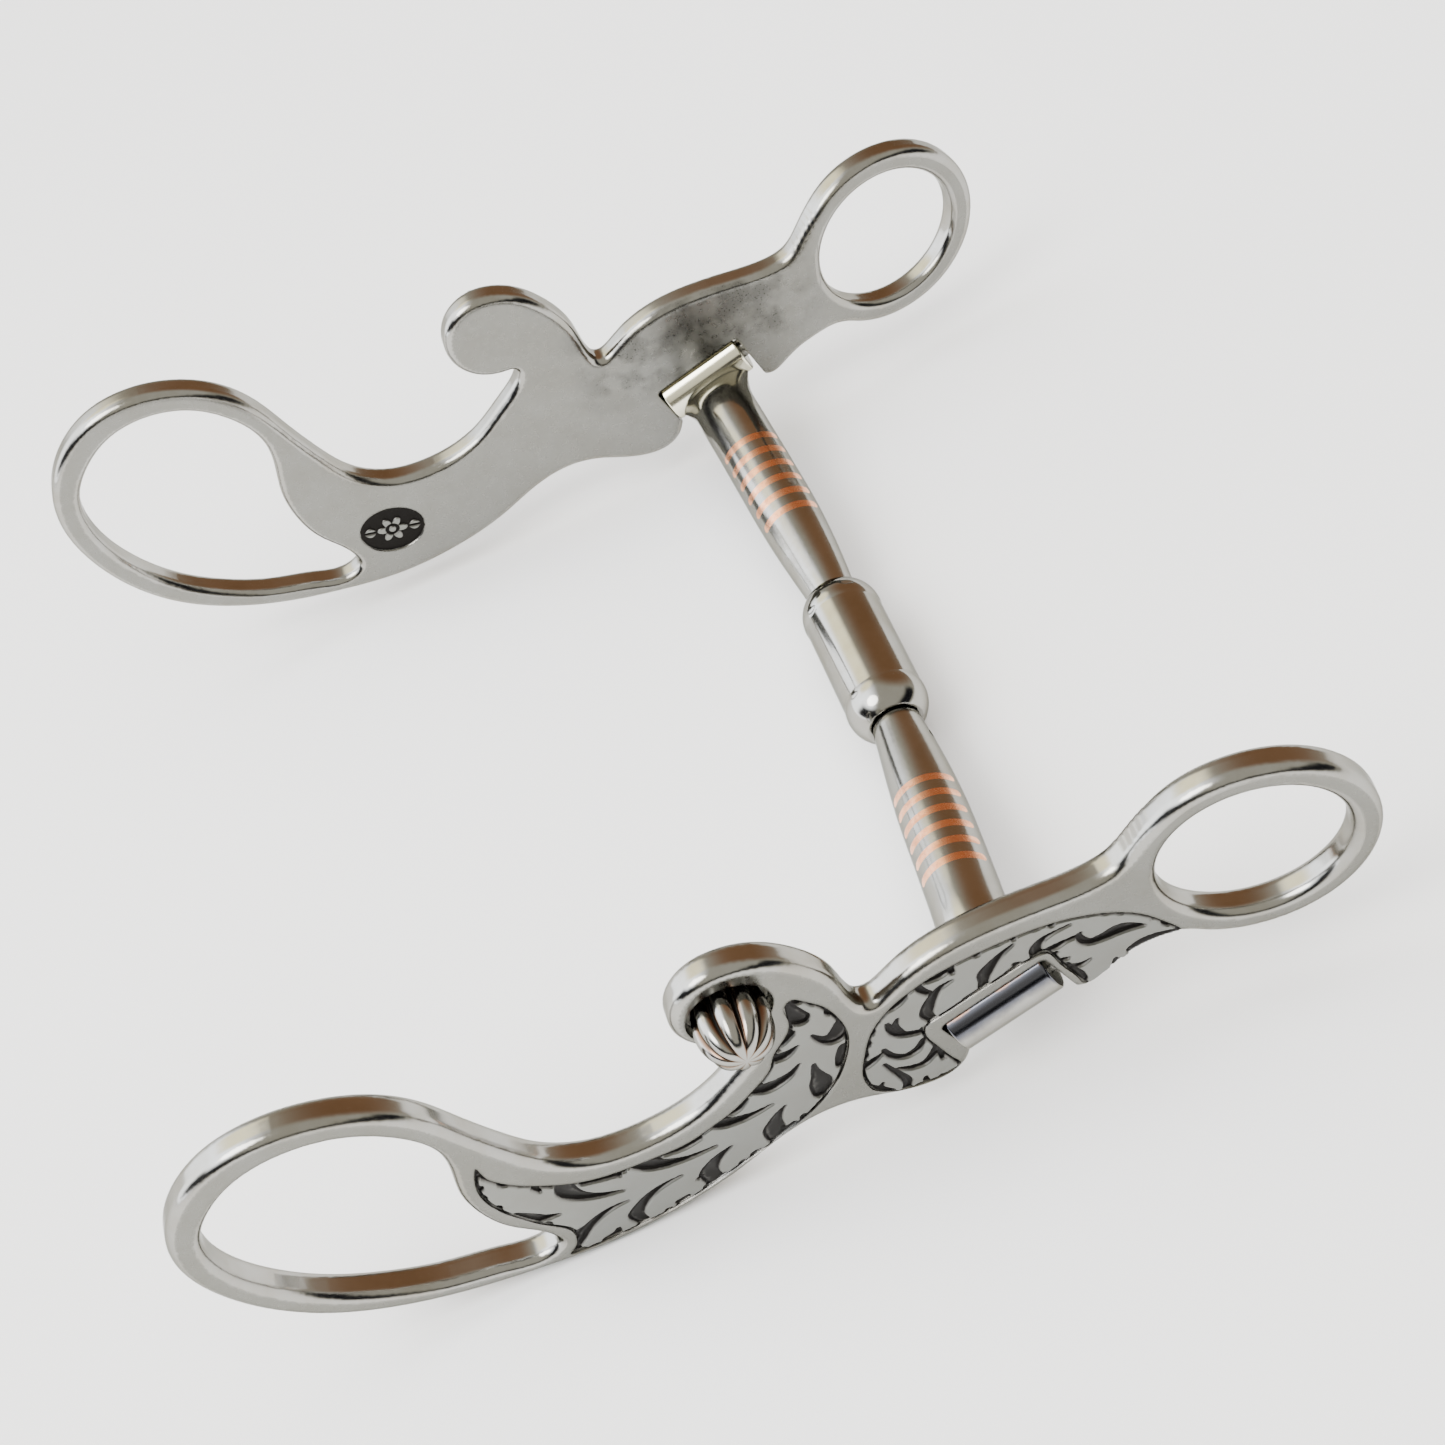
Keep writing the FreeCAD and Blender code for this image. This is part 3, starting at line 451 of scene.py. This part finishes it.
PURCHASE_CUTS = [
    [(12.9, -2.7, 0.25), (14.0, -1.9, 0.5), (15.0, -1.2, 0.3)],
    [(16.8, 0.0, 0.35), (17.3, -1.2, 0.35), (18.0, -2.1, 0.3)],
    [(18.2, 0.5, 0.3), (19.7, 0.6, 0.3), (20.7, 1.0, 0.15)],
    [(21.3, 1.3, 0.3), (21.4, 0.4, 0.22)],
    [(18.0, -8.2, 0.4), (17.4, -6.8, 0.65), (17.7, -5.2, 0.75), (18.5, -3.4, 0.55),
     (19.6, -1.9, 0.3), (21.2, -1.2, 0.03)],
    [(16.9, -10.0, 0.3), (14.7, -9.5, 0.4), (13.3, -8.7, 0.45), (12.5, -7.2, 0.35),
     (12.2, -5.6, 0.06)],
    [(13.6, -8.6, 0.4), (13.1, -6.9, 0.35), (13.6, -5.3, 0.06)],
    [(16.4, -12.0, 0.3), (15.5, -13.5, 0.45), (13.7, -14.2, 0.4), (12.0, -13.1, 0.35),
     (11.1, -11.0, 0.08)],
    [(8.1, -13.4, 0.5), (9.4, -12.7, 0.45), (10.8, -11.8, 0.12)],
    [(13.0, -22.0, 0.4), (13.4, -20.4, 0.45), (12.8, -18.6, 0.35), (11.8, -16.6, 0.22),
     (10.8, -14.4, 0.05)],
    [(18.0, -15.0, 0.6), (17.1, -16.3, 0.45), (15.8, -17.4, 0.4), (14.0, -17.3, 0.35),
     (12.3, -16.4, 0.06)],
    [(10.9, -21.4, 0.5), (9.7, -20.1, 0.55), (8.7, -18.8, 0.3)],
    [(9.6, -19.7, 0.3), (10.1, -18.6, 0.06)],
    [(15.8, -22.0, 0.3), (15.8, -20.8, 0.06)],
    [(18.4, -15.6, 0.4), (18.4, -17.9, 0.08)],
    [(25.0, -5.3, 0.4), (25.3, -3.6, 0.55), (25.6, -2.2, 0.85), (26.6, -0.8, 0.6), (27.8, 0.5, 0.3),
     (29.4, 1.7, 0.03)],
    [(22.6, -6.3, 0.25), (24.4, -5.6, 0.35)],
    [(28.4, -3.9, 0.25), (29.8, -3.1, 0.35), (29.3, -2.5, 0.06)],
    [(32.3, -2.2, 0.6), (32.3, -0.8, 0.6), (33.1, 0.4, 0.38), (34.6, 1.1, 0.15), (36.9, 1.6, 0.03)],
    [(33.2, -2.2, 0.3), (34.8, -2.0, 0.45), (36.2, -1.6, 0.25), (37.8, -1.4, 0.2),
     (38.2, -1.0, 0.06)],
    [(37.9, -1.2, 0.15), (38.3, -2.6, 0.38), (39.3, -3.6, 0.5), (41.2, -3.6, 0.75),
     (43.0, -3.2, 0.95), (44.8, -3.6, 0.6), (46.6, -4.2, 0.03)],
    [(35.4, -5.4, 0.3), (36.3, -5.5, 0.1)],
    [(36.6, -7.6, 0.4), (37.9, -7.9, 0.3), (39.2, -7.4, 0.03)],
    [(36.9, -8.6, 0.4), (37.7, -10.2, 0.5), (38.2, -11.6, 0.4)],
    [(42.6, -10.7, 0.5), (42.6, -9.3, 0.06)],
    [(50.3, -7.2, 0.5), (48.2, -7.4, 0.75), (46.4, -7.8, 0.8), (45.0, -8.5, 0.7)],
]


def solid_relief(name, cells_inside, surface, depth, foot):
    """A closed mesh: the surface's grid points over the cells, with a skirt and a flat underside."""
    rows, columns = cells_inside.shape
    corner = np.zeros((rows + 1, columns + 1), bool)
    for i, j in ((0, 0), (0, 1), (1, 0), (1, 1)):
        corner[i:rows + i, j:columns + j] |= cells_inside
    number = -np.ones(corner.shape, int)
    number[corner] = np.arange(corner.sum())
    cell = np.argwhere(cells_inside)
    faces = np.stack([number[cell[:, 0], cell[:, 1]], number[cell[:, 0] + 1, cell[:, 1]],
                      number[cell[:, 0] + 1, cell[:, 1] + 1], number[cell[:, 0], cell[:, 1] + 1]], axis=1)
    top, under = surface[corner], foot[corner]
    count = len(top)
    edges = {}
    for face in faces:
        for a, b in zip(face, np.roll(face, -1)):
            if (b, a) in edges:
                del edges[b, a]
            else:
                edges[a, b] = True
    skirt = [(b, a, a + count, b + count) for a, b in edges]
    everything = np.concatenate([faces, faces[:, ::-1] + count]).tolist() + skirt
    mesh = bpy.data.meshes.new(name)
    mesh.from_pydata(np.concatenate([top, under]).tolist(), [], everything)
    shade = mesh.attributes.new("cut_depth", "FLOAT", "POINT")
    shade.data.foreach_set("value", np.concatenate([depth[corner], np.ones(count)]).astype(np.float32))
    mesh.validate()
    return mesh


def settle(mesh, name, material, body):
    """Puts a finished mesh in the scene as a piece of the object."""
    tidy = bmesh.new()
    tidy.from_mesh(mesh)
    bmesh.ops.recalc_face_normals(tidy, faces=tidy.faces)
    tidy.to_mesh(mesh)
    tidy.free()
    mesh.polygons.foreach_set("use_smooth", [True] * len(mesh.polygons))
    mesh.materials.append(material)
    piece = bpy.data.objects.new(name, mesh)
    bpy.context.scene.collection.objects.link(piece)
    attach(piece, body)
    return piece


def cut_field(side, name, field, cuts):
    """The foliage that stands in one of a cheek's sunk fields, flush with the face around it."""
    outline = rounded(field, closed=True, steps=5)
    start, end = outline.min(axis=0), outline.max(axis=0)
    u, v = np.meshgrid(np.arange(start[0], end[0], CELL), np.arange(start[1], end[1], CELL), indexing="ij")
    points = np.stack([u.ravel(), v.ravel()], axis=1)
    edge = inside_distance(points, outline)
    outside, deep = stroke_field(points, cuts)
    outside = outside - CUT_SPREAD
    lobes = np.sin(1.9 * points[:, 0] + 0.8 * points[:, 1]) * np.sin(1.6 * points[:, 1] - 0.7 * points[:, 0])
    border = edge - BORDER_CUT - SCALLOP * smoothstep(lobes)
    land = np.minimum(border, outside)
    hollow = smoothstep(-land / HOLLOW_REACH)
    lift = SHALLOW_LIFT * hollow * (1 - deep) * (outside < border)
    height = PANEL_DEPTH * np.clip(np.maximum(smoothstep(land / WALL), lift), LEAST_HEIGHT, 1)
    depth = 1 - height / PANEL_DEPTH
    grid = [array.reshape(u.shape) for array in (edge, height, depth)]
    inside = grid[0] > 0.03
    cells = inside[:-1, :-1] & inside[1:, :-1] & inside[:-1, 1:] & inside[1:, 1:]
    floor = HALF_PLATE - PANEL_DEPTH
    surface = cheek_points(side, u, v, floor + grid[1])
    foot = cheek_points(side, u, v, np.full(u.shape, floor - SKIRT))
    mesh = solid_relief(name, cells, surface, grid[2], foot)
    return settle(mesh, name, foliage_steel, f"{side}_cheek")


for side in SIDES:
    cut_field(side, f"{side}_rein_foliage", REIN_FIELD, REIN_CUTS)
    cut_field(side, f"{side}_purchase_foliage", PURCHASE_FIELD, PURCHASE_CUTS)

# ---- badges --------------------------------------------------------------------------------------

BADGE_U, BADGE_V = -29.2, -23.2
BADGE_HALF_LENGTH, BADGE_HALF_HEIGHT = 5.45, 4.65
BADGE_TURN = -5.0
BADGE_DEPTH = 0.35
BADGE_CELL = 0.1
PETALS = 6
FLOWER_CORE, PETAL_REACH = 1.2, 1.5
EYE_RADIUS, EYE_LINE = 0.9, 0.14
LEAF_PLACE, LEAF_HALF_LENGTH, LEAF_HALF_WIDTH = 3.75, 1.15, 1.1
VEIN_HALF_WIDTH = 0.1
BADGE_SLOPE = 0.3              # width of the raised shapes' sloping sides
BADGE_LOW, BADGE_HIGH = 0.04, 0.92    # heights of the ground and the shapes, of the badge's depth


def badge(side):
    """A small flower between two leaves, raised from the sunk oval of the inner face."""
    along, up = np.meshgrid(np.arange(-BADGE_HALF_LENGTH, BADGE_HALF_LENGTH, BADGE_CELL),
                            np.arange(-BADGE_HALF_HEIGHT, BADGE_HALF_HEIGHT, BADGE_CELL), indexing="ij")
    edge = 1 - np.hypot(along / BADGE_HALF_LENGTH, up / BADGE_HALF_HEIGHT)
    angle = np.arctan2(up, along)
    reach = np.hypot(along, up)
    flower = FLOWER_CORE + PETAL_REACH * np.abs(np.cos(PETALS * angle / 2)) - reach
    eye = np.abs(reach - EYE_RADIUS) - EYE_LINE
    leaf = LEAF_HALF_WIDTH * (1 - ((np.abs(along) - LEAF_PLACE) / LEAF_HALF_LENGTH) ** 2) - np.abs(up)
    vein = np.abs(up) - VEIN_HALF_WIDTH
    raised = np.maximum(np.minimum(flower, eye), np.minimum(leaf, vein))
    height = BADGE_DEPTH * np.clip(BADGE_HIGH * smoothstep(raised / BADGE_SLOPE), BADGE_LOW, 1)
    turn = math.radians(BADGE_TURN)
    u = BADGE_U + along * math.cos(turn) - up * math.sin(turn)
    v = BADGE_V + along * math.sin(turn) + up * math.cos(turn)
    inside = edge > 0
    cells = inside[:-1, :-1] & inside[1:, :-1] & inside[:-1, 1:] & inside[1:, 1:]
    floor = BADGE_DEPTH - HALF_PLATE
    surface = cheek_points(side, u, v, floor - height)
    foot = cheek_points(side, u, v, np.full(u.shape, floor + SKIRT))
    name = f"{side}_badge_rosette"
    mesh = solid_relief(name, cells, surface, 0.95 - height / BADGE_DEPTH, foot)
    settle(mesh, name, foliage_steel, f"{side}_cheek")


for side in SIDES:
    badge(side)

# ---- buds ----------------------------------------------------------------------------------------

BUD_U, BUD_V = -6.1, 8.5
BUD_RADIUS = 4.95
BUD_FOOT = 0.05                # depth of the bud's foot, from the plate's middle
BUD_CROWN = 9.1                # the bud's whole height
BUD_WAIST = 0.4                # height of its widest place, of the whole
BUD_RIBS = 9
FLUTE = 0.22                   # depth of its grooves, of its radius
BUD_WAIST_SHARE = 0.25         # where on the way from foot to crown the waist comes
BUD_RINGS = 44
SPOKES_PER_RIB = 14


def bud_profile(share):
    """Height and radius of the bud, from its foot at 0 to its crown at 1."""
    if share < BUD_WAIST_SHARE:
        up = share / BUD_WAIST_SHARE
        return BUD_CROWN * BUD_WAIST * up, BUD_RADIUS * (0.88 + 0.12 * math.sin(up * math.pi / 2))
    round_over = (share - BUD_WAIST_SHARE) / (1 - BUD_WAIST_SHARE) * math.pi / 2
    height = BUD_WAIST + (1 - BUD_WAIST) * math.sin(round_over)
    return BUD_CROWN * height, BUD_RADIUS * math.cos(round_over) ** 0.8


def bud(side):
    """A fluted bud: round ribs that meet at its crown."""
    rings, spokes = BUD_RINGS, SPOKES_PER_RIB * BUD_RIBS
    name = f"{side}_fluted_bud"
    points = []
    groove = []
    for ring in range(rings):
        rise, swell = bud_profile(ring / rings)
        for spoke in range(spokes):
            angle = 2 * math.pi * spoke / spokes
            rib = abs(math.sin(BUD_RIBS * angle / 2)) ** 0.65
            radius = swell * (1 - FLUTE * (1 - rib))
            # How deep in a groove each point lies, which the bud's material paints as shade; it fades towards
            # the crown.
            groove.append((1 - rib) * (1 - 0.6 * (ring / rings) ** 3))
            u, v = BUD_U + radius * math.cos(angle), BUD_V + radius * math.sin(angle)
            points.append((u, v, BUD_FOOT + rise))
    points.append((BUD_U, BUD_V, BUD_FOOT + BUD_CROWN))
    u, v, y = np.array(points).T
    faces = []
    for ring in range(rings - 1):
        for spoke in range(spokes):
            a, b = ring * spokes + spoke, ring * spokes + (spoke + 1) % spokes
            faces.append((a, b, b + spokes, a + spokes))
    last = (rings - 1) * spokes
    faces += [(last + spoke, last + (spoke + 1) % spokes, rings * spokes) for spoke in range(spokes)]
    faces.append(tuple(range(spokes))[::-1])
    mesh = bpy.data.meshes.new(name)
    mesh.from_pydata(cheek_points(side, u, v, y).tolist(), [], faces)
    shade = mesh.attributes.new("cut_depth", "FLOAT", "POINT")
    shade.data.foreach_set("value", np.array(groove + [0.0], np.float32))
    piece = settle(mesh, name, bud_steel, f"{side}_cheek")
    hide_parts(f"{side}_scroll_bud")


for side in SIDES:
    bud(side)

# ---- stage, light and camera ---------------------------------------------------------------------

FLOOR_SIZE = 4.0
FLOOR_DROP = 0.0002            # keeps the paper just under the lowest metal
ROOM_GREY = (0.92, 0.89, 0.78)
WINDOW_WHITE = (5.6, 5.8, 6.2)
WALL_BROWN = (0.46, 0.25, 0.13)
GLINT = (4.0, 3.7, 2.6)
ROOM_DARK = (0.025, 0.025, 0.03)


def floor():
    mesh = bpy.data.meshes.new("floor")
    half = FLOOR_SIZE / 2
    corners = [(-half, -half, 0), (half, -half, 0), (half, half, 0), (-half, half, 0)]
    mesh.from_pydata(corners, [], [(0, 1, 2, 3)])
    paint = Paint("floor_paper")
    tone = paint.ramp(paint.noise(6, detail=2), 0.3, 0.7)
    paint.feed(paint.shader.inputs["Base Color"], paint.mix(tone, (0.86, 0.86, 0.86), (0.88, 0.88, 0.88)))
    paint.shader.inputs["Roughness"].default_value = 0.85
    mesh.materials.append(paint.material)
    sheet = bpy.data.objects.new("floor", mesh)
    sheet.location.z = -FLOOR_DROP
    bpy.context.scene.collection.objects.link(sheet)


def room():
    """Soft white surroundings with a warm wall behind and a dark line at the front horizon."""
    world = bpy.data.worlds.new("room")
    bpy.context.scene.world = world
    world.use_nodes = True
    tree = world.node_tree
    direction = tree.nodes.new("ShaderNodeTexCoord").outputs["Generated"]

    def add(kind, **settings):
        made = tree.nodes.new(kind)
        for key, value in settings.items():
            setattr(made, key, value)
        return made

    def patch(centre, inner, outer):
        """1 within inner degrees of the centre direction, falling to 0 at outer degrees."""
        dot = add("ShaderNodeVectorMath", operation="DOT_PRODUCT")
        tree.links.new(direction, dot.inputs[0])
        dot.inputs[1].default_value = Vector(centre).normalized()
        soft = add("ShaderNodeMapRange", interpolation_type="SMOOTHSTEP", clamp=True)
        tree.links.new(dot.outputs["Value"], soft.inputs["Value"])
        soft.inputs["From Min"].default_value = math.cos(math.radians(outer))
        soft.inputs["From Max"].default_value = math.cos(math.radians(inner))
        return soft.outputs["Result"]

    def blend(share, first, second):
        made = add("ShaderNodeMix", data_type="RGBA")
        tree.links.new(share, made.inputs["Factor"])
        if isinstance(first, bpy.types.NodeSocket):
            tree.links.new(first, made.inputs["A"])
        else:
            made.inputs["A"].default_value = (*first, 1)
        made.inputs["B"].default_value = (*second, 1)
        return made.outputs["Result"]

    colour = blend(patch((-0.85, 0.15, 0.35), 25, 62), ROOM_GREY, WINDOW_WHITE)
    colour = blend(patch((0.55, 0.62, 0.52), 6, 50), colour, WALL_BROWN)
    colour = blend(patch((-0.42, 0.62, 0.66), 3, 20), colour, GLINT)
    separate = add("ShaderNodeSeparateXYZ")
    tree.links.new(direction, separate.inputs[0])

    def rise(axis, low, high):
        """From 0 to 1 as the direction's part along the axis goes from low to high."""
        soft = add("ShaderNodeMapRange", interpolation_type="SMOOTHSTEP", clamp=True)
        tree.links.new(separate.outputs[axis], soft.inputs["Value"])
        soft.inputs["From Min"].default_value = low
        soft.inputs["From Max"].default_value = high
        return soft.outputs["Result"]

    def times(first, second):
        made = add("ShaderNodeMath", operation="MULTIPLY")
        tree.links.new(first, made.inputs[0])
        tree.links.new(second, made.inputs[1])
        return made.outputs[0]

    front = rise("Y", 0.15, -0.2)
    low_line = times(times(rise("Z", 0.36, 0.26), rise("Z", 0.03, 0.10)), front)
    side_band = times(rise("Z", 0.62, 0.40), rise("Z", 0.05, 0.16))
    side_shade = times(side_band, times(front, rise("X", -0.25, -0.6)))
    far_band = times(rise("Z", 0.55, 0.35), rise("Z", 0.05, 0.16))
    far_shade = times(far_band, times(front, rise("X", 0.3, 0.6)))
    for shade in (low_line, side_shade, far_shade):
        colour = blend(shade, colour, ROOM_DARK)
    tree.links.new(colour, tree.nodes["Background"].inputs["Color"])
    tree.nodes["Background"].inputs["Strength"].default_value = 1.0


def lamp(name, place, aim, size, power, colour, mirrored=True):
    light = bpy.data.lights.new(name, "AREA")
    light.shape = "DISK"
    light.size = size
    light.energy = power
    light.color = colour
    holder = bpy.data.objects.new(name, light)
    holder.visible_glossy = mirrored
    holder.location = place
    holder.rotation_mode = "QUATERNION"
    holder.rotation_quaternion = (Vector(aim) - Vector(place)).to_track_quat("-Z", "Y")
    bpy.context.scene.collection.objects.link(holder)


CAMERA_PLACE = (0.01716, -0.21024, 0.25332)
CAMERA_RIGHT = (0.9111, -0.2929, -0.2902)
CAMERA_UP = (0.4110, 0.7000, 0.5840)
CAMERA_LENS = 53.825


def camera():
    data = bpy.data.cameras.new("camera")
    data.lens = CAMERA_LENS
    data.clip_start, data.clip_end = 0.01, 20
    right = Vector(CAMERA_RIGHT).normalized()
    up = (Vector(CAMERA_UP) - right * right.dot(Vector(CAMERA_UP))).normalized()
    back = right.cross(up)
    view = bpy.data.objects.new("camera", data)
    view.matrix_world = Matrix.Translation(CAMERA_PLACE) @ Matrix((right, up, back)).transposed().to_4x4()
    bpy.context.scene.collection.objects.link(view)
    bpy.context.scene.camera = view


floor()
room()
lamp("softbox", (-0.45, -0.25, 0.75), (0, 0, 0), 0.5, 6, (1.0, 0.98, 0.95))
lamp("overhead", (0, 0, 1.5), (0, 0, 0), 2.0, 38, (1.0, 1.0, 1.0), mirrored=False)
camera()
